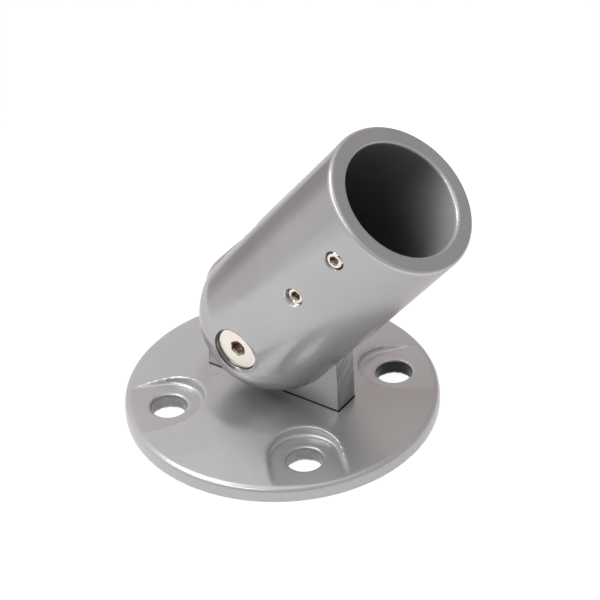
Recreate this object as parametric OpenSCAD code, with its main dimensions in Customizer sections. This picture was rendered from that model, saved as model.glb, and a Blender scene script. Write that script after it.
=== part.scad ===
// Railing post mount: a round cast base plate, a lug screwed to it from below,
// and a post socket that tilts on the lug and is locked by its pivot screw.
// Sizes are millimetres. The origin is the middle of the base plate's underside,
// +Z is up, X is the way in which the socket tilts, and Y runs along its pivot.

/* [Base plate] */
// Diameter of the base plate
base_d = 131; // [126:0.1:150]
// Thickness of the plate at its rim
rim_h = 7.2; // [5:0.1:9]
// Height of the flat seat in the middle of the plate
seat_h = 11.8; // [10.5:0.1:16]
// Width of the flat seat that shows past the corners of the lug
seat_margin = 0.8; // [0.4:0.1:4]
// Radius that blends the seat into the sloping top
seat_blend_r = 25; // [12:1:40]
// Radius of the rounded upper edge of the rim
rim_edge_r = 2.5; // [1:0.1:3.5]
// Radius of the small rounding at the lower edge of the rim
foot_edge_r = 0.6; // [0.3:0.1:1]

/* [Anchor holes] */
// Number of anchor holes, each in its own pad
hole_count = 4; // [3:1:4]
// Diameter of an anchor hole
hole_d = 15; // [9:0.5:18]
// Diameter of the circle through the hole centres
hole_circle_d = 95.25; // [94:0.25:100]
// Chamfer at both ends of an anchor hole
hole_chamfer = 0.4; // [0.2:0.1:0.8]
// Depth of the faced pads below the rim's highest line
pad_drop = 0.05; // [0.03:0.01:0.5]
// Radius of the flat pad floor about its hole
pad_r = 13.9; // [12:0.1:15]
// Radius of the fillet at the foot of the pad's wall
pad_fillet_r = 1.4; // [0.5:0.1:1.8]

/* [Lug] */
// Length of the lug along the plate
lug_len = 64.2; // [56:0.1:66]
// Thickness of the lug along the pivot
lug_t = 12.2; // [10:0.1:14]
// Height of the pivot above the underside of the plate
pivot_h = 46.4; // [45:0.1:60]
// Chamfer round the foot of the lug, seen as a dark seam
lug_chamfer = 0.5; // [0.2:0.1:1]

/* [Lug screws] */
// Distance from each end of the lug to the screw that holds it there
lug_screw_inset = 16; // [13:0.5:19]
// Nominal diameter of a lug screw
lug_screw_d = 8; // [6:0.5:8]
// Length of a lug screw with its head
lug_screw_len = 25; // [18:0.5:26]
// Diameter of a lug screw's countersunk head
lug_head_d = 15.4; // [12:0.1:16]
// Depth of the head's face below the underside
lug_head_drop = 0.4; // [0.2:0.1:0.8]
// Width across the flats of its hexagon socket
lug_screw_hex = 5; // [3:0.5:5]
// Depth of its hexagon socket
lug_hex_depth = 3; // [2:0.1:3.5]

/* [Post socket] */
// Angle of the socket from upright
tilt = 38.75; // [-90:0.25:90]
// Outer diameter of the socket
socket_d = 64; // [62:0.1:67]
// Distance from the pivot to the mouth
socket_len = 98; // [92:0.1:140]
// Diameter of the bore that takes the post
bore_d = 49; // [46:0.1:51]
// Depth of the bore
bore_depth = 58; // [50:0.5:58.5]
// Radius of the rounded outer edge of the mouth
mouth_edge_r = 1.4; // [0.5:0.1:2.5]
// Radius of the rounded inner edge of the mouth
bore_edge_r = 1.4; // [0.3:0.1:2]
// Radius of the corner at the bottom of the bore
bore_floor_r = 3; // [1:0.5:6]

/* [Pivot screw] */
// Diameter of the shoulder that the lug turns on
shoulder_d = 12; // [11:0.5:14]
// Diameter of the thread in the far cheek
pivot_thread_d = 10; // [6:0.5:10]
// Length of the thread in the far cheek
pivot_thread_len = 18; // [10:0.5:18]
// Diameter of the flat head
pivot_head_d = 18; // [16:0.1:20]
// Thickness of the flat head
pivot_head_h = 6; // [4.5:0.1:8]
// Depth of the head's face below the side of the socket
pivot_head_drop = 3.6; // [2:0.1:5]
// Width across the flats of its hexagon socket
pivot_hex = 6; // [4:0.5:8]
// Depth of its hexagon socket
pivot_hex_depth = 3.6; // [2:0.1:4]
// Chamfer round the face of the head
pivot_head_chamfer = 0.4; // [0.2:0.1:0.8]

/* [Set screws] */
// Distance from the pivot to the lower set screw
set_lower_pos = 50.3; // [48:0.1:60]
// Distance from the pivot to the upper set screw
set_upper_pos = 81.5; // [70:0.1:86]
// Nominal diameter of a set screw
set_screw_d = 8; // [6:0.5:9]
// Length of a set screw
set_screw_len = 5; // [3.5:0.1:5]
// Depth of the lower set screw's face below the side of the socket
set_lower_drop = 1.8; // [0.5:0.1:1.8]
// Depth of the upper set screw's face below the side of the socket
set_upper_drop = 0.6; // [0.3:0.1:1.8]
// Width across the flats of the hexagon socket
set_hex = 4; // [2:0.5:4.5]
// Depth of the hexagon socket
set_hex_depth = 2.6; // [1.5:0.1:3]
// Depth of the cup at the tip
set_cup_depth = 0.8; // [0.4:0.1:1]

/* [Fits] */
// Gap between the lug and each cheek
cheek_clear = 0.2; // [0.1:0.05:0.5]
// Radial gap between the shoulder and its bores
shoulder_clear = 0.05; // [0.03:0.01:0.1]
// Radial gap between the pivot screw's head and its recess
head_clear = 0.4; // [0.2:0.1:1]
// Gap between the round top of the lug and the end of the slot
slot_end_clear = 1; // [0.5:0.1:3]
// Radial gap between a set screw and its hole
set_clear = 0.05; // [0.03:0.01:0.1]
// Radial gap round a lug screw in the plate
lug_screw_clear = 0.3; // [0.1:0.1:0.5]
// Space left past the tip of a screw in its blind hole
tip_clear = 1.5; // [0.5:0.5:3]

/* [Hidden] */
$fn = 96;

CAST_GREY = [0.70, 0.70, 0.71];
LUG_GREY = [0.64, 0.64, 0.65];
STEEL = [0.86, 0.84, 0.81];

// Overshoot of a cut past the face that it opens
cut = 1;
first_hole_angle = 45;

base_r = base_d / 2;
pad_h = rim_h - pad_drop;
pad_wall_r = pad_r + pad_fillet_r;
lug_screw_x = lug_len / 2 - lug_screw_inset;
seat_r = norm([lug_len / 2, lug_t / 2]) + seat_margin;
// The sloping top is the line that touches both the blend circle and the rim's circle
blend_centre = [seat_r, seat_h - seat_blend_r];
rim_centre = [base_r - rim_edge_r, rim_h - rim_edge_r];
blend_to_rim = rim_centre - blend_centre;
slope = asin((seat_blend_r - rim_edge_r) / norm(blend_to_rim))
    - atan2(blend_to_rim[1], blend_to_rim[0]);
slope_normal = [sin(slope), cos(slope)];
slope_top = blend_centre + seat_blend_r * slope_normal;
slope_foot = rim_centre + rim_edge_r * slope_normal;

lug_top_r = lug_len / 2;
lug_tap_h = lug_head_drop + lug_screw_len + tip_clear;
lug_head_cone_h = (lug_head_d - lug_screw_d) / 2;

socket_r = socket_d / 2;
bore_r = bore_d / 2;
slot_w = lug_t + 2 * cheek_clear;
slot_end = lug_top_r + slot_end_clear;
head_face_y = -socket_r + pivot_head_drop;
head_seat_y = head_face_y + pivot_head_h;
cheek_y = slot_w / 2;
pivot_tap_end = cheek_y + pivot_thread_len + tip_clear;

// A prism with a hexagon of the given width across its flats
module hex_prism(across, h) {
    cylinder(d = across / cos(30), h = h, $fn = 6);
}

// Turns what is drawn about the pivot, from an upright socket with its pivot at the origin
module at_pivot() {
    translate([0, 0, pivot_h]) rotate([0, tilt, 0]) children();
}

// Places what is drawn along +Z so that it runs in +Y from the near side of an upright socket
module from_side(pos) {
    translate([0, -socket_r, pos]) rotate([-90, 0, 0]) children();
}

module base_profile() {
    square([seat_r, seat_h]);
    intersection() {
        translate(blend_centre) circle(r = seat_blend_r);
        translate([seat_r, 0]) square([slope_top[0] - seat_r, seat_h]);
    }
    polygon([[slope_top[0], 0], [slope_foot[0], 0], slope_foot, slope_top]);
    translate(rim_centre) circle(r = rim_edge_r);
    translate([rim_centre[0], foot_edge_r]) square([rim_edge_r, rim_centre[1] - foot_edge_r]);
    translate([rim_centre[0], 0]) square([rim_edge_r - foot_edge_r, rim_centre[1]]);
    translate([base_r - foot_edge_r, foot_edge_r]) circle(r = foot_edge_r);
}

// Half of the pad's section: floor, fillet and upright wall
module pad_section() {
    translate([0, pad_h]) square([pad_r, pad_fillet_r]);
    translate([0, pad_h + pad_fillet_r]) square([pad_wall_r, seat_h + cut - pad_h - pad_fillet_r]);
    intersection() {
        translate([pad_r, pad_h + pad_fillet_r]) circle(r = pad_fillet_r);
        translate([pad_r, pad_h]) square(pad_fillet_r);
    }
}

// A pad is round about its hole and runs straight out through the rim
module pad_cut() {
    rotate_extrude() pad_section();
    rotate([90, 0, 90]) linear_extrude(base_r) {
        pad_section();
        mirror([1, 0]) pad_section();
    }
}

module anchor_hole() {
    translate([0, 0, -cut]) cylinder(d = hole_d, h = seat_h + 2 * cut);
    translate([0, 0, pad_h - hole_chamfer])
        cylinder(d1 = hole_d, d2 = hole_d + 2 * (hole_chamfer + cut), h = hole_chamfer + cut);
    translate([0, 0, -cut])
        cylinder(d1 = hole_d + 2 * (hole_chamfer + cut), d2 = hole_d, h = hole_chamfer + cut);
}

// The head of a lug screw, made larger all round by a gap
module lug_screw_head(gap) {
    cylinder(r1 = lug_head_d / 2 + gap, r2 = lug_screw_d / 2 + gap, h = lug_head_cone_h);
}

module base_plate() {
    color(CAST_GREY) difference() {
        rotate_extrude() base_profile();
        for (i = [0 : hole_count - 1])
            rotate(first_hole_angle + i * 360 / hole_count) translate([hole_circle_d / 2, 0, 0]) {
                pad_cut();
                anchor_hole();
            }
        for (side = [-1, 1]) translate([side * lug_screw_x, 0, 0]) {
            translate([0, 0, -cut]) cylinder(r = lug_head_d / 2, h = cut + lug_head_drop);
            translate([0, 0, lug_head_drop]) lug_screw_head(0);
            translate([0, 0, -cut]) cylinder(r = lug_screw_d / 2 + lug_screw_clear, h = seat_h + 2 * cut);
        }
    }
}

module lug_side_profile() {
    half = lug_len / 2;
    translate([0, pivot_h]) circle(r = lug_top_r);
    polygon([[-half + lug_chamfer, seat_h], [half - lug_chamfer, seat_h],
             [half, seat_h + lug_chamfer], [half, pivot_h],
             [-half, pivot_h], [-half, seat_h + lug_chamfer]]);
}

module lug_end_profile() {
    half = lug_t / 2;
    top = pivot_h + lug_top_r + cut;
    polygon([[-half + lug_chamfer, seat_h], [half - lug_chamfer, seat_h],
             [half, seat_h + lug_chamfer], [half, top], [-half, top], [-half, seat_h + lug_chamfer]]);
}

module lug() {
    color(LUG_GREY) difference() {
        intersection() {
            rotate([90, 0, 0]) linear_extrude(lug_t + cut, center = true) lug_side_profile();
            rotate([90, 0, 90]) linear_extrude(lug_len + cut, center = true) lug_end_profile();
        }
        translate([0, 0, pivot_h]) rotate([90, 0, 0])
            cylinder(r = shoulder_d / 2 + shoulder_clear, h = lug_t + 2 * cut, center = true);
        for (side = [-1, 1]) translate([side * lug_screw_x, 0, 0])
            cylinder(d = lug_screw_d, h = lug_tap_h);
    }
}

module lug_screw(side) {
    color(STEEL) translate([side * lug_screw_x, 0, lug_head_drop]) difference() {
        union() {
            lug_screw_head(0);
            cylinder(d = lug_screw_d, h = lug_screw_len);
        }
        translate([0, 0, -cut]) hex_prism(lug_screw_hex, lug_hex_depth + cut);
    }
}

module lug_screw_left() {
    lug_screw(-1);
}

module lug_screw_right() {
    lug_screw(1);
}

// The outside of the socket: a round end about the pivot, and a tube with a rounded mouth
module socket_profile() {
    intersection() {
        circle(r = socket_r);
        translate([0, -socket_r]) square([socket_r, socket_r]);
    }
    square([socket_r, socket_len - mouth_edge_r]);
    square([socket_r - mouth_edge_r, socket_len]);
    translate([socket_r - mouth_edge_r, socket_len - mouth_edge_r]) circle(r = mouth_edge_r);
}

// The bore with its rounded floor corner, and the rounding of its mouth
module bore_profile() {
    floor_z = socket_len - bore_depth;
    translate([0, floor_z + bore_floor_r]) square([bore_r, bore_depth]);
    translate([0, floor_z]) square([bore_r - bore_floor_r, bore_depth]);
    translate([bore_r - bore_floor_r, floor_z + bore_floor_r]) circle(r = bore_floor_r);
    difference() {
        translate([0, socket_len - bore_edge_r]) square([bore_r + bore_edge_r, bore_edge_r + cut]);
        translate([bore_r + bore_edge_r, socket_len - bore_edge_r]) circle(r = bore_edge_r);
    }
}

module socket() {
    color(CAST_GREY) at_pivot() difference() {
        rotate_extrude() socket_profile();
        rotate_extrude() bore_profile();
        translate([-socket_d, -slot_w / 2, -socket_d]) cube([2 * socket_d, slot_w, socket_d + slot_end]);
        rotate([-90, 0, 0]) {
            translate([0, 0, -socket_d])
                cylinder(r = pivot_head_d / 2 + head_clear, h = socket_d + head_seat_y);
            translate([0, 0, -socket_r])
                cylinder(r = shoulder_d / 2 + shoulder_clear, h = socket_r);
            cylinder(d = pivot_thread_d, h = pivot_tap_end);
        }
        for (pos = [set_lower_pos, set_upper_pos]) from_side(pos) translate([0, 0, -cut])
            cylinder(r = set_screw_d / 2 + set_clear, h = socket_r);
    }
}

module pivot_screw() {
    color(STEEL) at_pivot() rotate([-90, 0, 0]) difference() {
        union() {
            translate([0, 0, head_face_y + pivot_head_chamfer])
                cylinder(d = pivot_head_d, h = pivot_head_h - pivot_head_chamfer);
            translate([0, 0, head_face_y])
                cylinder(d1 = pivot_head_d - 2 * pivot_head_chamfer, d2 = pivot_head_d, h = pivot_head_chamfer);
            translate([0, 0, head_face_y]) cylinder(d = shoulder_d, h = cheek_y - head_face_y);
            translate([0, 0, head_face_y])
                cylinder(d = pivot_thread_d, h = cheek_y + pivot_thread_len - head_face_y);
        }
        translate([0, 0, head_face_y - cut]) hex_prism(pivot_hex, pivot_hex_depth + cut);
    }
}

// A set screw along +Z with its face at the origin and a cupped tip
module set_screw() {
    color(STEEL) difference() {
        cylinder(d = set_screw_d, h = set_screw_len);
        translate([0, 0, -cut]) hex_prism(set_hex, set_hex_depth + cut);
        translate([0, 0, set_screw_len - set_cup_depth])
            cylinder(r1 = set_cup_depth, r2 = 2 * set_cup_depth + cut, h = set_cup_depth + cut);
    }
}

module set_screw_lower() {
    at_pivot() from_side(set_lower_pos) translate([0, 0, set_lower_drop]) set_screw();
}

module set_screw_upper() {
    at_pivot() from_side(set_upper_pos) translate([0, 0, set_upper_drop]) set_screw();
}

base_plate();
lug();
lug_screw_left();
lug_screw_right();
socket();
pivot_screw();
set_screw_lower();
set_screw_upper();
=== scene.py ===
import math

import bpy
from mathutils import Euler, Matrix, Vector


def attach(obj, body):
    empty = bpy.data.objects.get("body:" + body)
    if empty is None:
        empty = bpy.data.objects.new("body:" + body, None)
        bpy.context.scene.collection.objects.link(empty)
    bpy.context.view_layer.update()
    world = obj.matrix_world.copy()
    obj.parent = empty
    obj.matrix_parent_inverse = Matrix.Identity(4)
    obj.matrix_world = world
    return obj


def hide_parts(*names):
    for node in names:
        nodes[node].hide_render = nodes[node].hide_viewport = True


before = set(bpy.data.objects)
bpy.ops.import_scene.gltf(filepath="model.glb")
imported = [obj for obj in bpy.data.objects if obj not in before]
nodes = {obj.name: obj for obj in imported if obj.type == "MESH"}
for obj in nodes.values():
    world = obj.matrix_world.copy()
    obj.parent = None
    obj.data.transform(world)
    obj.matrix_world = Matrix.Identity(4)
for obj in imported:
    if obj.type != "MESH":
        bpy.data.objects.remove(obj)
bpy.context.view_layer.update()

MM = 0.001

# The photograph's viewing direction, in degrees, and its distance and aim, in metres
VIEW_AZIMUTH = 35.253
VIEW_ELEVATION = 35.989
VIEW_ROLL = -2.708
VIEW_DISTANCE = 1.154556
VIEW_AIM = Vector((-0.001205, 0.017686, 0.040844))
VIEW_LENS_MM = 167.955

# Sizes of the source, in metres. The plate's top is level out to BLEND_START_R, bends
# down with BLEND_R and falls straight from SLOPE_START_R on.
PLATE_R = 65.5 * MM
SEAT_H = 11.8 * MM
BLEND_R = 25 * MM
BLEND_START_R = 33.475 * MM
SLOPE_START_R = 37.57 * MM
SLOPE = 0.1663
FOOT_ROUND = 0.6 * MM
HOLE_CIRCLE_R = 47.625 * MM
HOLE_R = 7.5 * MM
PAD_H = 7.15 * MM
PAD_FILLET = 1.4 * MM
LUG_END = 32.1 * MM
LUG_SIDE = 6.1 * MM
LUG_SCREW_X = 16.1 * MM
LUG_SCREW_BORE_R = 4.3 * MM
LUG_SINK_R = 8 * MM
LUG_HEAD_DROP = 0.4 * MM
PIVOT = Vector((0, 0, 46.4 * MM))
TILT = math.radians(38.75)
TUBE_AXIS = Vector((math.sin(TILT), 0, math.cos(TILT)))
TUBE_ACROSS = Vector((TUBE_AXIS.z, 0, -TUBE_AXIS.x))
TUBE_R = 32 * MM
BORE_R = 24.5 * MM
SOCKET_LEN = 98 * MM
SLOT_W = 12.6 * MM
SLOT_END = 33.1 * MM
SOURCE_LOWER = 50.3 * MM
SOURCE_UPPER = 81.5 * MM
HEAD_SEAT_DEPTH = 9.6 * MM
HEAD_HEX_DEPTH = 3.6 * MM
SHOULDER_R = 6 * MM
SHOULDER_LEN = 28.7 * MM
THREAD_LEN = 18 * MM
SET_R = 4 * MM
SET_LEN = 5 * MM
SET_HEX_R = 2.31 * MM
SET_HEX_DEPTH = 2.6 * MM

# Sizes of this model alone, which follow the photograph or the way a piece is made
SEAT_CREASE_R = 35.54 * MM
SEAT_BLEND = 2.06 * MM
RIM_CREASE_H = 6.818 * MM
RIM_ROUND = 2.12 * MM
PAD_WALL_R = 14.9 * MM
PAD_LEG = 26 * MM
PAD_FLARE_SLOPE = 0.07
LUG_SINK_START = 0.1 * MM
LUG_SINK_DEPTH = 4.1 * MM
PLATE_GRAIN = 0.6 * MM
TUBE_GRAIN = 0.84 * MM
TUBE_GIVE = 0.04 * MM
LIP_ROUND = 1.7 * MM
RECESS_R = 9.5 * MM
RECESS_EDGE = 0.75 * MM
HEAD_R = 9.05 * MM
HEAD_DROP = 3.3 * MM
HEAD_HEX_R = 3.7 * MM
SCREW_CHAMFER = 1 * MM
THREAD_STEP = 1 * MM
SET_LOWER = 49 * MM
SET_UPPER = 80.4 * MM
SET_LOWER_DROP = 1.7 * MM
SET_UPPER_DROP = 0.3 * MM
SET_HOLE_R = SET_R + 0.05 * MM
SET_HOLE_EDGE = 0.5 * MM

# Cutters: how far they reach past what they cut, and what counts as level or touching
PAD_CUT_H = 8 * MM
DRILL_LOW = -5 * MM
DRILL_HIGH = 20 * MM
SLOT_CUT_ACROSS = 90 * MM
SLOT_CUT_BELOW = 40 * MM
SET_HOLE_FLOOR_Y = -21 * MM
LEVEL = 0.9
TOUCH = 0.01 * MM

# The plugs that close the source's set screw holes before the tube is softened
PLUG_R = 4.6 * MM
PLUG_INNER = 24.3 * MM
PLUG_OUTER = 31.66 * MM
PLUG_REACH = 5.8 * MM
PLUG_GIVE = 0.5 * MM
PLUG_Y = -20 * MM

# How far the plate's top is trued up: not at all at the first distance from a pad or
# from the middle and fully at the second, and the other way for how far off it lies
OFF_PAD = (0.9 * MM, 1.8 * MM)
OFF_RIM = (63.7 * MM, 62.7 * MM)
OFF_FORM = (0.1 * MM, 0.2 * MM)
RIM_START_R = PLATE_R - 2.1 * MM


def add_camera():
    turn = Euler((math.radians(90 - VIEW_ELEVATION), 0, math.radians(VIEW_AZIMUTH))).to_matrix()
    turn = turn @ Euler((0, 0, math.radians(VIEW_ROLL))).to_matrix()
    data = bpy.data.cameras.new("camera")
    data.lens = VIEW_LENS_MM
    camera = bpy.data.objects.new("camera", data)
    camera.matrix_world = turn.to_4x4()
    camera.location = VIEW_AIM - turn @ Vector((0, 0, -VIEW_DISTANCE))
    bpy.context.scene.collection.objects.link(camera)
    bpy.context.scene.camera = camera


# Working on a mesh

def take_up(piece):
    """Makes one object the only selected and the active one."""
    bpy.ops.object.select_all(action="DESELECT")
    piece.select_set(True)
    bpy.context.view_layer.objects.active = piece


def fix_place(piece):
    take_up(piece)
    bpy.ops.object.transform_apply(location=True, rotation=True, scale=True)


def copy_of(piece, name):
    """A new object with its own copy of a piece's mesh."""
    made = bpy.data.objects.new(name, piece.data.copy())
    bpy.context.scene.collection.objects.link(made)
    return made


def start_picking(piece, kind):
    take_up(piece)
    bpy.ops.object.mode_set(mode="EDIT")
    bpy.ops.mesh.select_mode(type=kind)
    bpy.ops.mesh.select_all(action="DESELECT")
    bpy.ops.object.mode_set(mode="OBJECT")


def pick_faces(piece, wanted):
    start_picking(piece, "FACE")
    for face in piece.data.polygons:
        face.select = wanted(face.normal)
    bpy.ops.object.mode_set(mode="EDIT")


def pick_ring(piece, height):
    """Picks the edges that lie at one height."""
    start_picking(piece, "EDGE")
    points = piece.data.vertices
    for edge in piece.data.edges:
        edge.select = all(abs(points[i].co.z - height) < TOUCH for i in edge.vertices)
    bpy.ops.object.mode_set(mode="EDIT")


def faces_up(normal):
    return normal.z > LEVEL


def faces_down(normal):
    return normal.z < -LEVEL


def done_editing():
    bpy.ops.object.mode_set(mode="OBJECT")


def extrude(x, y, z):
    bpy.ops.mesh.extrude_region_move(TRANSFORM_OT_translate={"value": (x, y, z)})


def bevel_outline(width, segments):
    """Bevels the outline of the picked faces and ends the editing."""
    bpy.ops.mesh.region_to_loop()
    bpy.ops.mesh.bevel(offset=width, segments=segments)
    done_editing()


def finish_with(piece, kind, **settings):
    """Puts one modifier on a piece and applies it."""
    take_up(piece)
    modifier = piece.modifiers.new(kind.lower(), kind)
    for name, value in settings.items():
        setattr(modifier, name, value)
    bpy.ops.object.modifier_apply(modifier=modifier.name)


def combine(piece, other, operation):
    """Adds another solid to a piece or cuts it away, and removes it."""
    finish_with(piece, "BOOLEAN", object=other, operation=operation, solver="MANIFOLD")
    bpy.data.objects.remove(other, do_unlink=True)


def cut_away(piece, cutter):
    combine(piece, cutter, "DIFFERENCE")


def soften(piece, grain, passes):
    """Remeshes a casting evenly, so that its edges come out slightly rounded."""
    finish_with(piece, "REMESH", mode="VOXEL", voxel_size=grain)
    finish_with(piece, "SMOOTH", factor=0.5, iterations=passes)
    bpy.ops.object.shade_smooth()


def smooth_step(value, low, high):
    t = min(max((value - low) / (high - low), 0), 1)
    return t * t * (3 - 2 * t)


def cylinder(radius, low, high, x=0.0, y=0.0, sides=96):
    bpy.ops.mesh.primitive_cylinder_add(
        vertices=sides, radius=radius, depth=high - low, location=(x, y, (low + high) / 2))
    made = bpy.context.active_object
    fix_place(made)
    return made


def cone(low_radius, high_radius, low, high, x=0.0):
    bpy.ops.mesh.primitive_cone_add(
        vertices=96, radius1=low_radius, radius2=high_radius, depth=high - low,
        location=(x, 0, (low + high) / 2))
    made = bpy.context.active_object
    fix_place(made)
    return made


# The base casting

def plate_blank():
    """A disc, raised to a seat for the lug, with its creases rounded."""
    plate = cylinder(PLATE_R, 0, RIM_CREASE_H, sides=192)
    pick_faces(plate, faces_up)
    bpy.ops.mesh.inset(thickness=PLATE_R - SEAT_CREASE_R)
    bpy.ops.transform.translate(value=(0, 0, SEAT_H - RIM_CREASE_H))
    bevel_outline(SEAT_BLEND, 6)
    for height, width, segments in ((RIM_CREASE_H, RIM_ROUND, 8), (0, FOOT_ROUND, 3)):
        pick_ring(plate, height)
        bpy.ops.mesh.bevel(offset=width, segments=segments)
        done_editing()
    return plate


def pad_cutter():
    """The hollow of one pad: round within, flared towards the rim, filleted at its foot."""
    cutter = cylinder(PAD_WALL_R, PAD_H, PAD_H + PAD_CUT_H)
    pick_faces(cutter, lambda normal: normal.x > 0.01)
    extrude(PAD_LEG, 0, 0)
    flare = 1 + PAD_LEG * PAD_FLARE_SLOPE / PAD_WALL_R
    bpy.ops.transform.resize(value=(1, flare, 1), center_override=(0, 0, 0))
    done_editing()
    pick_faces(cutter, faces_down)
    bevel_outline(PAD_FILLET, 5)
    return cutter


def crown_height(reach):
    """Height of the plate's top at a distance from its middle: seat, blend and slope."""
    if reach < BLEND_START_R:
        return SEAT_H
    if reach < SLOPE_START_R:
        return SEAT_H - BLEND_R + math.sqrt(BLEND_R ** 2 - (reach - BLEND_START_R) ** 2)
    return RIM_CREASE_H + (PLATE_R - reach) * SLOPE


def pad_distance(x, y):
    """How far a point lies outside the nearest pad's edge."""
    out = (abs(x) + abs(y)) / math.sqrt(2) - HOLE_CIRCLE_R
    aside = abs(abs(y) - abs(x)) / math.sqrt(2)
    if out < 0:
        return math.hypot(out, aside) - PAD_WALL_R
    return aside - PAD_WALL_R - out * PAD_FLARE_SLOPE


def true_up_crown(plate):
    """Puts the open parts of the top back on the turned form that the remeshing blurs."""
    for point in plate.data.vertices:
        x, y, z = point.co
        reach = math.hypot(x, y)
        if z > PAD_H and reach < RIM_START_R:
            error = crown_height(reach) - z
            hold = smooth_step(pad_distance(x, y), *OFF_PAD)
            hold *= smooth_step(reach, *OFF_RIM)
            hold *= 1 - smooth_step(abs(error), *OFF_FORM)
            point.co.z += hold * error


def drill(plate, radius, x, y=0.0):
    """A round hole right through the plate."""
    cut_away(plate, cylinder(radius, DRILL_LOW, DRILL_HIGH, x, y))


def base_casting():
    plate = plate_blank()
    pattern = pad_cutter()
    for quarter in range(4):
        angle = math.radians(45 + 90 * quarter)
        cutter = copy_of(pattern, "pad_hollow")
        outward = Matrix.Translation((HOLE_CIRCLE_R, 0, 0))
        cutter.matrix_world = Matrix.Rotation(angle, 4, "Z") @ outward
        fix_place(cutter)
        cut_away(plate, cutter)
        drill(plate, HOLE_R, HOLE_CIRCLE_R * math.cos(angle), HOLE_CIRCLE_R * math.sin(angle))
    bpy.data.objects.remove(pattern, do_unlink=True)
    for x in (-LUG_SCREW_X, LUG_SCREW_X):
        drill(plate, LUG_SCREW_BORE_R, x)
        sink_end = LUG_SINK_START + LUG_SINK_DEPTH
        cut_away(plate, cone(LUG_SINK_R, LUG_SINK_R - LUG_SINK_DEPTH, LUG_SINK_START, sink_end, x))
        cut_away(plate, cylinder(LUG_SINK_R, -1 * MM, LUG_SINK_START + 0.1 * MM, x))
    soften(plate, PLATE_GRAIN, 5)
    true_up_crown(plate)
    plate.name = "base_casting"
    return plate


# The socket casting

def side_depth(along, aside):
    """The y of the tube's near side, at a place given along and across its axis."""
    reach = abs(aside) if along > 0 else math.hypot(along, aside)
    return -math.sqrt(TUBE_R ** 2 - reach ** 2)


def point_on_side(along, aside, y):
    return PIVOT + along * TUBE_AXIS + aside * TUBE_ACROSS + Vector((0, y, 0))


def turn_to_side(piece, along, y):
    """Moves a piece that stands on Z at the origin to the tube's near side, facing out."""
    place = Matrix.Translation(point_on_side(along, 0, y))
    piece.matrix_world = place @ Matrix.Rotation(math.radians(90), 4, "X")
    fix_place(piece)


def fill_screw_holes(tube):
    for along in (SOURCE_LOWER, SOURCE_UPPER):
        plug = cylinder(PLUG_R, PLUG_INNER, PLUG_OUTER)
        turn_to_side(plug, along, 0)
        combine(tube, plug, "UNION")


def true_up_tube(tube):
    """Puts the outside back on the cylinder and its round end, also where the plugs are."""
    for point in tube.data.vertices:
        arm = point.co - PIVOT
        along = max(arm.dot(TUBE_AXIS), 0)
        middle = PIVOT + along * TUBE_AXIS
        outward = arm - along * TUBE_AXIS
        aside = arm.dot(TUBE_ACROSS)
        near = min(math.hypot(along - screw, aside) for screw in (SOURCE_LOWER, SOURCE_UPPER))
        plugged = near < PLUG_REACH and arm.y < PLUG_Y
        give = PLUG_GIVE if plugged else TUBE_GIVE
        if abs(outward.length - TUBE_R) < give:
            point.co = middle + outward.normalized() * TUBE_R
        elif plugged and abs(outward.length - BORE_R) < give:
            point.co = middle + outward.normalized() * BORE_R


def true_up_mouth(tube):
    """Gives the mouth a flat face and an even round on both of its edges."""
    start = SOCKET_LEN - LIP_ROUND
    for point in tube.data.vertices:
        arm = point.co - PIVOT
        along = arm.dot(TUBE_AXIS)
        if along < start:
            continue
        outward = arm - along * TUBE_AXIS
        reach = outward.length
        middle = min(max(reach, BORE_R + LIP_ROUND), TUBE_R - LIP_ROUND)
        spread = math.hypot(along - start, reach - middle)
        along = start + (along - start) * LIP_ROUND / spread
        reach = middle + (reach - middle) * LIP_ROUND / spread
        point.co = PIVOT + along * TUBE_AXIS + outward.normalized() * reach


def clear_slot(tube):
    """Cuts the slot to its true walls again, so that its corners stay clear of the lug."""
    size = (SLOT_CUT_ACROSS, SLOT_W, SLOT_END + SLOT_CUT_BELOW)
    bpy.ops.mesh.primitive_cube_add(size=1, scale=size)
    box = bpy.context.active_object
    fix_place(box)
    lift = Matrix.Translation((0, 0, (SLOT_END - SLOT_CUT_BELOW) / 2))
    box.matrix_world = Matrix.Translation(PIVOT) @ Matrix.Rotation(TILT, 4, "Y") @ lift
    fix_place(box)
    cut_away(tube, box)


def cut_side_hole(tube, along, radius, edge, floor_y):
    """Cuts a round hole in the near side, its mouth rounded all along the curved surface."""
    step = 1 * MM
    outside = -3 * MM
    cutter = cylinder(radius, 0, step, sides=160)
    pick_faces(cutter, faces_up)
    depths = [0, edge]
    reach = radius
    for degrees in (15, 30, 45, 60, 78):
        angle = math.radians(degrees)
        wider = radius + edge * (1 - math.cos(angle))
        growth = wider / reach
        extrude(0, 0, step)
        bpy.ops.transform.resize(value=(growth, growth, 1), center_override=(0, 0, 0))
        depths.append(edge * (1 - math.sin(angle)))
        reach = wider
    extrude(0, 0, step)
    depths.append(outside)
    done_editing()
    for point in cutter.data.vertices:
        level = round(point.co.z / step)
        there = (along + point.co.y, point.co.x)
        y = floor_y if level == 0 else side_depth(*there) + depths[level]
        point.co = point_on_side(*there, y)
    cut_away(tube, cutter)


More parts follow.
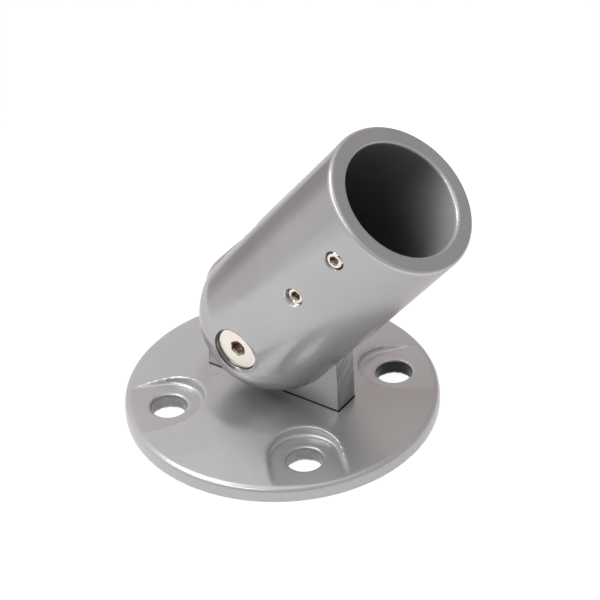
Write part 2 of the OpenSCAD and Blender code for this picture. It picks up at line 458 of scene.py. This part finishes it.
def socket_casting():
    """The tube with its slot and bore softened, and its recess and screw holes cut afresh."""
    tube = copy_of(nodes["socket"], "socket_casting")
    take_up(tube)
    bpy.ops.object.mode_set(mode="EDIT")
    bpy.ops.mesh.select_all(action="SELECT")
    bpy.ops.mesh.remove_doubles(threshold=0.001 * MM)
    done_editing()
    fill_screw_holes(tube)
    soften(tube, TUBE_GRAIN, 2)
    true_up_tube(tube)
    true_up_mouth(tube)
    clear_slot(tube)
    cut_side_hole(tube, 0, RECESS_R, RECESS_EDGE, HEAD_SEAT_DEPTH - TUBE_R)
    for along in (SET_LOWER, SET_UPPER):
        cut_side_hole(tube, along, SET_HOLE_R, SET_HOLE_EDGE, SET_HOLE_FLOOR_Y)
    take_up(tube)
    bpy.ops.object.shade_smooth_by_angle(angle=math.radians(50))
    return tube


# The screws in the socket

def cut_hexagon(screw, corner, depth):
    """A hexagon socket in the top of a screw, with a small cone that leads the key in."""
    cut_away(screw, cylinder(corner, -depth, 1 * MM, sides=6))
    cut_away(screw, cone(corner - 0.4 * MM, corner + 0.6 * MM, -0.15 * MM, 0.85 * MM))


def round_edges(screw, width):
    finish_with(screw, "BEVEL", width=width, segments=2, limit_method="ANGLE",
                angle_limit=math.radians(30))
    bpy.ops.object.shade_smooth_by_angle(angle=math.radians(35))
    finish_with(screw, "WEIGHTED_NORMAL", weight=100, keep_sharp=True)


def set_screw_blank():
    """A set screw on its end, its outer face up at the origin: chamfered at both ends."""
    screw = cylinder(SET_R, -SET_LEN, 0)
    pick_faces(screw, lambda normal: abs(normal.z) > LEVEL)
    bevel_outline(SCREW_CHAMFER, 1)
    cut_hexagon(screw, SET_HEX_R, SET_HEX_DEPTH)
    round_edges(screw, 0.09 * MM)
    return screw


def set_screw(name, blank, along, drop):
    screw = copy_of(blank, name)
    turn_to_side(screw, along, drop - TUBE_R)
    return screw


def pivot_screw():
    """The screw that the socket turns on: a flat head, a shoulder and a threaded end."""
    screw = cylinder(HEAD_R, HEAD_DROP - HEAD_SEAT_DEPTH, 0, sides=160)
    pick_faces(screw, faces_down)
    bpy.ops.mesh.inset(thickness=HEAD_R - SHOULDER_R)
    extrude(0, 0, -SHOULDER_LEN)
    bpy.ops.mesh.inset(thickness=THREAD_STEP)
    extrude(0, 0, -THREAD_LEN)
    bevel_outline(SCREW_CHAMFER, 1)
    cut_hexagon(screw, HEAD_HEX_R, HEAD_HEX_DEPTH)
    round_edges(screw, 0.12 * MM)
    turn_to_side(screw, 0, HEAD_DROP - TUBE_R)
    screw.name = "pivot_screw_turned"
    return screw


# Finishes

class Shader:
    """A node material that is built up in code."""

    def __init__(self, name, **sockets):
        self.material = bpy.data.materials.new(name)
        self.material.use_nodes = True
        self.tree = self.material.node_tree
        self.bsdf = self.tree.nodes["Principled BSDF"]
        for socket, value in sockets.items():
            self.bsdf.inputs[socket.replace("_", " ")].default_value = value
        self.place = self.node("ShaderNodeTexCoord").outputs["Object"]

    def node(self, kind, **values):
        made = self.tree.nodes.new(kind)
        for name, value in values.items():
            if name in made.inputs:
                made.inputs[name].default_value = value
            else:
                setattr(made, name, value)
        return made

    def link(self, source, target):
        self.tree.links.new(source, target)

    def shade_by(self, socket, source):
        """Drives one socket of the surface."""
        self.link(source, self.bsdf.inputs[socket])

    def noise(self, scale, detail=3.0, place=None):
        made = self.node("ShaderNodeTexNoise", Scale=scale, Detail=detail)
        self.link(place or self.place, made.inputs["Vector"])
        return made.outputs["Fac"]

    def vector(self, operation, first, second=None):
        made = self.node("ShaderNodeVectorMath", operation=operation)
        self.link(first, made.inputs[0])
        if second is not None:
            made.inputs[1].default_value = second
        is_number = operation in ("LENGTH", "DOT_PRODUCT")
        return made.outputs["Value" if is_number else "Vector"]

    def dot(self, vector, direction):
        return self.vector("DOT_PRODUCT", vector, direction)

    def length(self, vector):
        return self.vector("LENGTH", vector)

    def split(self, vector):
        made = self.node("ShaderNodeSeparateXYZ")
        self.link(vector, made.inputs["Vector"])
        return made.outputs

    def ramp(self, source, low, high, to_low=0.0, to_high=1.0):
        """A smooth step of a value between two limits."""
        made = self.node("ShaderNodeMapRange", interpolation_type="SMOOTHSTEP")
        self.link(source, made.inputs["Value"])
        limits = {"From Min": low, "From Max": high, "To Min": to_low, "To Max": to_high}
        for name, value in limits.items():
            made.inputs[name].default_value = value
        return made.outputs["Result"]

    def fade(self, source, low, high):
        """A mask that is full up to the lower limit and gone from the higher one on."""
        return self.ramp(source, low, high, 1.0, 0.0)

    def blend(self, factor, first, second):
        """Mixes two colours, each a value or another node's socket."""
        made = self.node("ShaderNodeMix", data_type="RGBA")
        self.link(factor, made.inputs[0])
        for place, colour in ((6, first), (7, second)):
            if isinstance(colour, tuple):
                made.inputs[place].default_value = colour
            else:
                self.link(colour, made.inputs[place])
        return made.outputs[2]

    def math(self, operation, first, second):
        made = self.node("ShaderNodeMath", operation=operation)
        for i, value in enumerate((first, second)):
            if isinstance(value, (int, float)):
                made.inputs[i].default_value = value
            else:
                self.link(value, made.inputs[i])
        return made.outputs[0]

    def both(self, first, second):
        """Where two masks hold."""
        return self.math("MULTIPLY", first, second)

    def bump(self, height, distance, under=None):
        made = self.node("ShaderNodeBump", Strength=1.0, Distance=distance)
        self.link(height, made.inputs["Height"])
        if under is not None:
            self.link(under, made.inputs["Normal"])
        return made.outputs["Normal"]


# Values that several finishes share

CAST_METALLIC = 0.68
BORE_METALLIC = 0.3
GRAIN_HEIGHT = 0.0006 * MM
FIRST_HOLE = (33.676 * MM, 33.676 * MM, 0)
ACROSS_PLATE = (1, 1, 0)
ACROSS_SIDE = (1, 0, 1)
UP = Vector((0, 0, 1))
INTO_SIDE = Vector((0, 1, 0))
OUT_OF_SIDE = Vector((0, -1, 0))

# The screws' roughness, and how far from the axis their sockets and rims are drawn
HEAD_ROUGHNESS = 0.24
SET_ROUGHNESS = 0.12
HEAD_SOCKET = 4 * MM
SET_SOCKET = 2.6 * MM
LUG_SOCKET = 3 * MM
SET_RIM = 3.05 * MM
NO_RIM = 12 * MM


def cast_skin(name, smoothest, waviness, dull, bright):
    """Satin silver-grey casting: slightly wavy, with a faint fine grain.

    Gives the shader, its roughness and its colour.
    """
    s = Shader(name, Metallic=CAST_METALLIC)
    waves = s.bump(s.noise(55.0, 1.5), waviness)
    grain = s.bump(s.noise(1400.0, 2.0), GRAIN_HEIGHT, waves)
    s.shade_by("Normal", grain)
    roughness = s.ramp(s.noise(35.0), 0.3, 0.7, smoothest, smoothest + 0.05)
    s.shade_by("Roughness", roughness)
    tone = s.blend(s.ramp(s.noise(30.0), 0.35, 0.65), dull, bright)
    return s, roughness, tone


def cast_plate_finish():
    """The plate: duller on its rim, dark in its holes, with a painted shadow along the lug's foot
    and a painted dark reflection on one hole's far wall.
    """
    dull = (0.52, 0.517, 0.523, 1)
    bright = (0.55, 0.547, 0.553, 1)
    s, _, tone = cast_skin("cast_plate", 0.27, 0.008 * MM, dull, bright)
    folded = s.vector("ABSOLUTE", s.place)

    rim = s.length(s.vector("MULTIPLY", s.place, ACROSS_PLATE))
    tone = s.blend(s.ramp(rim, 64.8 * MM, 65.4 * MM), tone, (0.42, 0.415, 0.415, 1))

    # Painted shadow: a near-black band on the plate along the lug's ends, where shade falls at its
    # foot.
    edges = s.split(folded)
    painted_lug_shadow = s.both(s.fade(edges["X"], LUG_END + 0.3 * MM, LUG_END + 0.7 * MM),
                  s.fade(edges["Y"], LUG_SIDE + 0.1 * MM, LUG_SIDE + 0.5 * MM))
    painted_lug_shadow = s.both(painted_lug_shadow, s.ramp(edges["Z"], SEAT_H - 0.6 * MM, SEAT_H - 0.2 * MM))
    tone = s.blend(painted_lug_shadow, tone, (0.02, 0.02, 0.02, 1))

    drilled = s.vector("SUBTRACT", s.vector("MULTIPLY", folded, ACROSS_PLATE), FIRST_HOLE)
    drilled = s.fade(s.length(drilled), HOLE_R - 0.02 * MM, HOLE_R + 0.12 * MM)
    wall = s.ramp(s.noise(300.0), 0.4, 0.6)
    wall = s.blend(wall, (0.19, 0.188, 0.186, 1), (0.23, 0.228, 0.226, 1))
    # Painted dark reflection: the far wall of the first hole is coloured near black.
    from_hole = s.vector("SUBTRACT", s.place, FIRST_HOLE)
    far_wall = s.dot(from_hole, (-0.577, 0.816, 0))
    painted_dark_reflection = s.both(s.fade(s.length(from_hole), 12 * MM, 14 * MM),
                       s.ramp(far_wall, -7 * MM, -4 * MM))
    wall = s.blend(painted_dark_reflection, wall, (0.012, 0.012, 0.012, 1))
    s.shade_by("Base Color", s.blend(drilled, tone, wall))
    return s.material


def cast_tube_finish():
    """The tube: duller below and round its lip, with a painted highlight on the lip, and painted
    shade in the bore that grows with depth and fades on its lit side.
    """
    dull = (0.41, 0.408, 0.413, 1)
    bright = (0.435, 0.432, 0.437, 1)
    s, roughness, tone = cast_skin("cast_tube", 0.13, 0.004 * MM, dull, bright)
    s.bsdf.inputs["Specular Tint"].default_value = (0.66, 0.61, 0.6, 1)
    normal = s.node("ShaderNodeTexCoord").outputs["Normal"]
    arm = s.vector("SUBTRACT", s.place, PIVOT)
    along = s.dot(arm, TUBE_AXIS)
    towards_side = s.dot(arm, OUT_OF_SIDE)

    # Painted highlight: the lip's rounds are coloured lighter than the rest of the tube; they are
    # also made rougher.
    lip = s.both(s.ramp(along, SOCKET_LEN - 2 * MM, SOCKET_LEN - 1.5 * MM),
                 s.fade(along, SOCKET_LEN - 0.2 * MM, SOCKET_LEN - 0.05 * MM))
    tone = s.blend(lip, tone, (0.52, 0.517, 0.522, 1))
    duller = s.ramp(s.dot(normal, -UP), 0.1, 0.5, 0.0, 0.1)
    duller = s.math("ADD", duller, s.math("MULTIPLY", lip, 0.13))
    s.shade_by("Roughness", s.math("ADD", roughness, duller))

    from_pivot = s.length(s.vector("MULTIPLY", arm, ACROSS_SIDE))
    shade = s.both(s.fade(from_pivot, RECESS_R + 0.5 * MM, RECESS_R + 0.7 * MM),
                   s.ramp(towards_side, 29.3 * MM, 29.8 * MM))
    shade = s.both(shade, s.ramp(s.dot(arm, (-0.97, 0, -0.26)), 0, 5 * MM))
    tone = s.blend(shade, tone, (0.1, 0.1, 0.1, 1))

    # The lower set screw's hole wall, between its face and the surface, is coloured lighter.
    from_screw = s.vector("SUBTRACT", arm, SET_LOWER * TUBE_AXIS)
    from_screw = s.length(s.vector("MULTIPLY", from_screw, ACROSS_SIDE))
    lighter_hole_wall = s.both(s.fade(from_screw, SET_R + 0.2 * MM, SET_R + 0.5 * MM),
                    s.ramp(towards_side, 20 * MM, 21 * MM))
    tone = s.blend(lighter_hole_wall, tone, (0.72, 0.715, 0.71, 1))

    # Painted light and shade in the bore: lighter towards the mouth and on the side the light
    # falls on, darker deeper in.
    reach = s.length(s.vector("CROSS_PRODUCT", arm, TUBE_AXIS))
    bored = s.fade(reach, BORE_R + 0.1 * MM, BORE_R + 0.5 * MM)
    lit = s.both(s.ramp(along, 52 * MM, SOCKET_LEN),
                 s.ramp(s.dot(arm, TUBE_ACROSS), -7 * MM, 17 * MM))
    inside = s.blend(lit, (0.135, 0.135, 0.137, 1), (0.56, 0.56, 0.57, 1))
    s.shade_by("Base Color", s.blend(bored, tone, inside))
    s.shade_by("Metallic", s.ramp(bored, 0.0, 1.0, CAST_METALLIC, BORE_METALLIC))
    return s.material


def sawn_aluminium():
    """The lug: smooth sides, and saw streaks that run at a slant over both ends."""
    s = Shader("sawn_aluminium", Metallic=1.0, Roughness=0.4)
    turned = s.node("ShaderNodeVectorRotate", rotation_type="X_AXIS", Angle=math.radians(52))
    s.link(s.place, turned.inputs["Vector"])
    stretched = s.vector("MULTIPLY", turned.outputs["Vector"], (0.2, 3.0, 0.12))
    streaks = s.noise(700.0, 4.0, stretched)
    ends = s.split(s.vector("ABSOLUTE", s.place))["X"]
    ends = s.ramp(ends, LUG_END - 0.2 * MM, LUG_END - 0.05 * MM)
    s.shade_by("Normal", s.bump(s.both(streaks, ends), 0.25 * MM))
    sawn = s.blend(s.ramp(streaks, 0.35, 0.65), (0.2, 0.2, 0.205, 1), (0.42, 0.42, 0.425, 1))
    s.shade_by("Base Color", s.blend(ends, (0.44, 0.43, 0.425, 1), sawn))
    return s.material


def stainless_steel(name, roughness, centre, inward, face, socket_reach, rim_reach):
    """Bright turned steel: a painted warm reflection inside its hexagon socket, a painted
    highlight on its upward facet, and painted reflection streaks on its chamfered rim.

    The face is given by its place along the screw's inward direction, and the socket and
    the rim by their distances from the screw's axis.
    """
    s = Shader(name, Metallic=1.0, Roughness=roughness)
    arm = s.vector("SUBTRACT", s.place, centre)
    deep = s.dot(arm, inward)
    reach = s.length(s.vector("CROSS_PRODUCT", arm, inward))
    inside = s.both(s.ramp(deep, face + 0.15 * MM, face + 0.5 * MM),
                    s.fade(reach, socket_reach, socket_reach + 0.3 * MM))

    normal = s.node("ShaderNodeTexCoord").outputs["Normal"]
    lit = s.both(s.ramp(s.dot(normal, UP), 0.35, 0.6),
                 s.fade(deep, face + 0.9 * MM, face + 1.7 * MM))
    lit = s.both(inside, lit)
    inside = s.math("SUBTRACT", inside, lit)
    s.shade_by("Metallic", s.ramp(lit, 0.0, 1.0, 1.0, 0.1))

    # Painted warm reflection inside the socket: brown, varying at random.
    painted_socket_reflection = s.ramp(s.noise(900.0), 0.4, 0.6)
    painted_socket_reflection = s.blend(painted_socket_reflection, (0.2, 0.15, 0.11, 1), (0.6, 0.5, 0.41, 1))
    # Painted reflection streaks: dark streaks of noise on the chamfered rim.
    rim = s.both(s.ramp(reach, rim_reach, rim_reach + 0.1 * MM),
                 s.ramp(s.noise(420.0, 1.0), 0.5, 0.6))
    tone = s.blend(rim, (0.76, 0.71, 0.655, 1), (0.16, 0.14, 0.13, 1))
    s.shade_by("Base Color", s.blend(inside, tone, painted_socket_reflection))
    s.shade_by("Normal", s.bump(s.noise(1800.0), 0.003 * MM))
    return s.material


def glowing(name, strength, **sockets):
    """A surface that gives off white light."""
    s = Shader(name, **sockets)
    s.bsdf.inputs["Emission Color"].default_value = (1, 1, 1, 1)
    s.bsdf.inputs["Emission Strength"].default_value = strength
    return s.material


def dress(piece, material):
    slots = piece.data.materials
    slots.clear()
    slots.append(material)


# The studio

def add_floor():
    """A white sheet that glows a little, so that it stays pale up to the object."""
    bpy.ops.mesh.primitive_circle_add(vertices=128, radius=0.26, fill_type="NGON")
    floor = bpy.context.active_object
    floor.name = "floor"
    dress(floor, glowing("pale_floor", 0.9, Roughness=0.9, Base_Color=(0.25, 0.25, 0.25, 1)))


def add_backdrop():
    """White all round, for the camera alone: it lights nothing and nothing reflects it."""
    bpy.ops.mesh.primitive_uv_sphere_add(segments=64, ring_count=32, radius=3)
    backdrop = bpy.context.active_object
    backdrop.name = "backdrop"
    dress(backdrop, glowing("white_backdrop", 1.0, Roughness=1.0, Base_Color=(0, 0, 0, 1)))
    backdrop.visible_diffuse = False
    backdrop.visible_glossy = False
    backdrop.visible_transmission = False
    backdrop.visible_shadow = False


# The room's even light, and its lobes: direction, the cosines of the angle from it where
# the lobe begins and where it is full, and its height
ROOM_LEVEL = 0.52
LIGHT_LOBES = (
    ((-0.9, 0.15, 0.45), 0.45, 0.95, 0.25),
    ((0.1, -0.1, 1), 0.8, 0.99, 0.55),
    ((-0.7, -0.7, -0.1), 0.5, 0.95, 0.2),
    ((-0.9, 0.45, -0.25), 0.86, 0.97, -0.32),
)
WARM_LOBES = (
    ((-0.15, 0.8, 0.6), 0.8, 0.98, 1.0),
    ((-0.97, 0.1, -0.2), 0.86, 0.98, 0.7),
)
GROUND_LOBE = ((0, 0, -1), 0.275, 0.295, 1.04)


class Sky(Shader):
    """The room, as a brightness for each direction."""

    def __init__(self):
        world = bpy.data.worlds.new("studio")
        world.use_nodes = True
        self.tree = world.node_tree
        self.background = self.tree.nodes["Background"]
        self.place = self.node("ShaderNodeTexCoord").outputs["Generated"]
        bpy.context.scene.world = world

    def lobe(self, direction, begin, full, height):
        cosine = self.dot(self.place, Vector(direction).normalized())
        return self.ramp(cosine, begin, full, 0.0, height)

    def sum_of(self, lobes, level):
        for lobe in lobes:
            level = self.math("ADD", self.lobe(*lobe), level)
        return level


def add_world():
    sky = Sky()
    ground = sky.lobe(*GROUND_LOBE)
    above = sky.both(sky.sum_of(LIGHT_LOBES, ROOM_LEVEL), sky.math("SUBTRACT", 1.0, ground))
    sky.link(sky.math("ADD", above, ground), sky.background.inputs["Strength"])
    warm = sky.sum_of(WARM_LOBES, 0.0)
    colour = sky.blend(warm, (1.0, 0.99, 0.985, 1), (1.0, 0.87, 0.85, 1))
    sky.link(colour, sky.background.inputs["Color"])


def add_panel(name, direction, width, height, power):
    """A soft light that faces the object from 1.2 m away."""
    data = bpy.data.lights.new(name, "AREA")
    data.shape = "RECTANGLE"
    data.size = width
    data.size_y = height
    data.energy = power
    panel = bpy.data.objects.new(name, data)
    way = Vector(direction).normalized()
    panel.location = way * 1.2
    panel.rotation_euler = way.to_track_quat("Z", "Y").to_euler()
    bpy.context.scene.collection.objects.link(panel)


bpy.context.scene.view_settings.view_transform = "Standard"
add_camera()
add_world()
add_floor()
add_backdrop()
add_panel("overhead_left", (-0.45, -0.15, 0.88), 0.4, 0.4, 2.7)
add_panel("front_strip", (-0.25, -0.6, 0.7), 1.3, 0.2, 4.2)

plate = base_casting()
dress(plate, cast_plate_finish())
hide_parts("base_plate")
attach(plate, "base")

tube = socket_casting()
dress(tube, cast_tube_finish())
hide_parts("socket")
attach(tube, "socket")

dress(nodes["lug"], sawn_aluminium())

pivot = pivot_screw()
face = HEAD_DROP - TUBE_R
dress(pivot, stainless_steel(
    "pivot_steel", HEAD_ROUGHNESS, PIVOT, INTO_SIDE, face, HEAD_SOCKET, NO_RIM))
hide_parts("pivot_screw")
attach(pivot, "socket")

blank = set_screw_blank()
set_screws = (
    ("set_screw_lower", SET_LOWER, SET_LOWER_DROP),
    ("set_screw_upper", SET_UPPER, SET_UPPER_DROP),
)
for name, along, drop in set_screws:
    screw = set_screw(name + "_turned", blank, along, drop)
    centre = PIVOT + along * TUBE_AXIS
    face = drop - TUBE_R
    dress(screw, stainless_steel(
        name + "_steel", SET_ROUGHNESS, centre, INTO_SIDE, face, SET_SOCKET, SET_RIM))
    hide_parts(name)
    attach(screw, name)
bpy.data.objects.remove(blank, do_unlink=True)

for name, side in (("lug_screw_left", -1), ("lug_screw_right", 1)):
    centre = Vector((side * LUG_SCREW_X, 0, 0))
    dress(nodes[name], stainless_steel(
        name + "_steel", HEAD_ROUGHNESS, centre, UP, LUG_HEAD_DROP, LUG_SOCKET, NO_RIM))

bpy.context.view_layer.update()
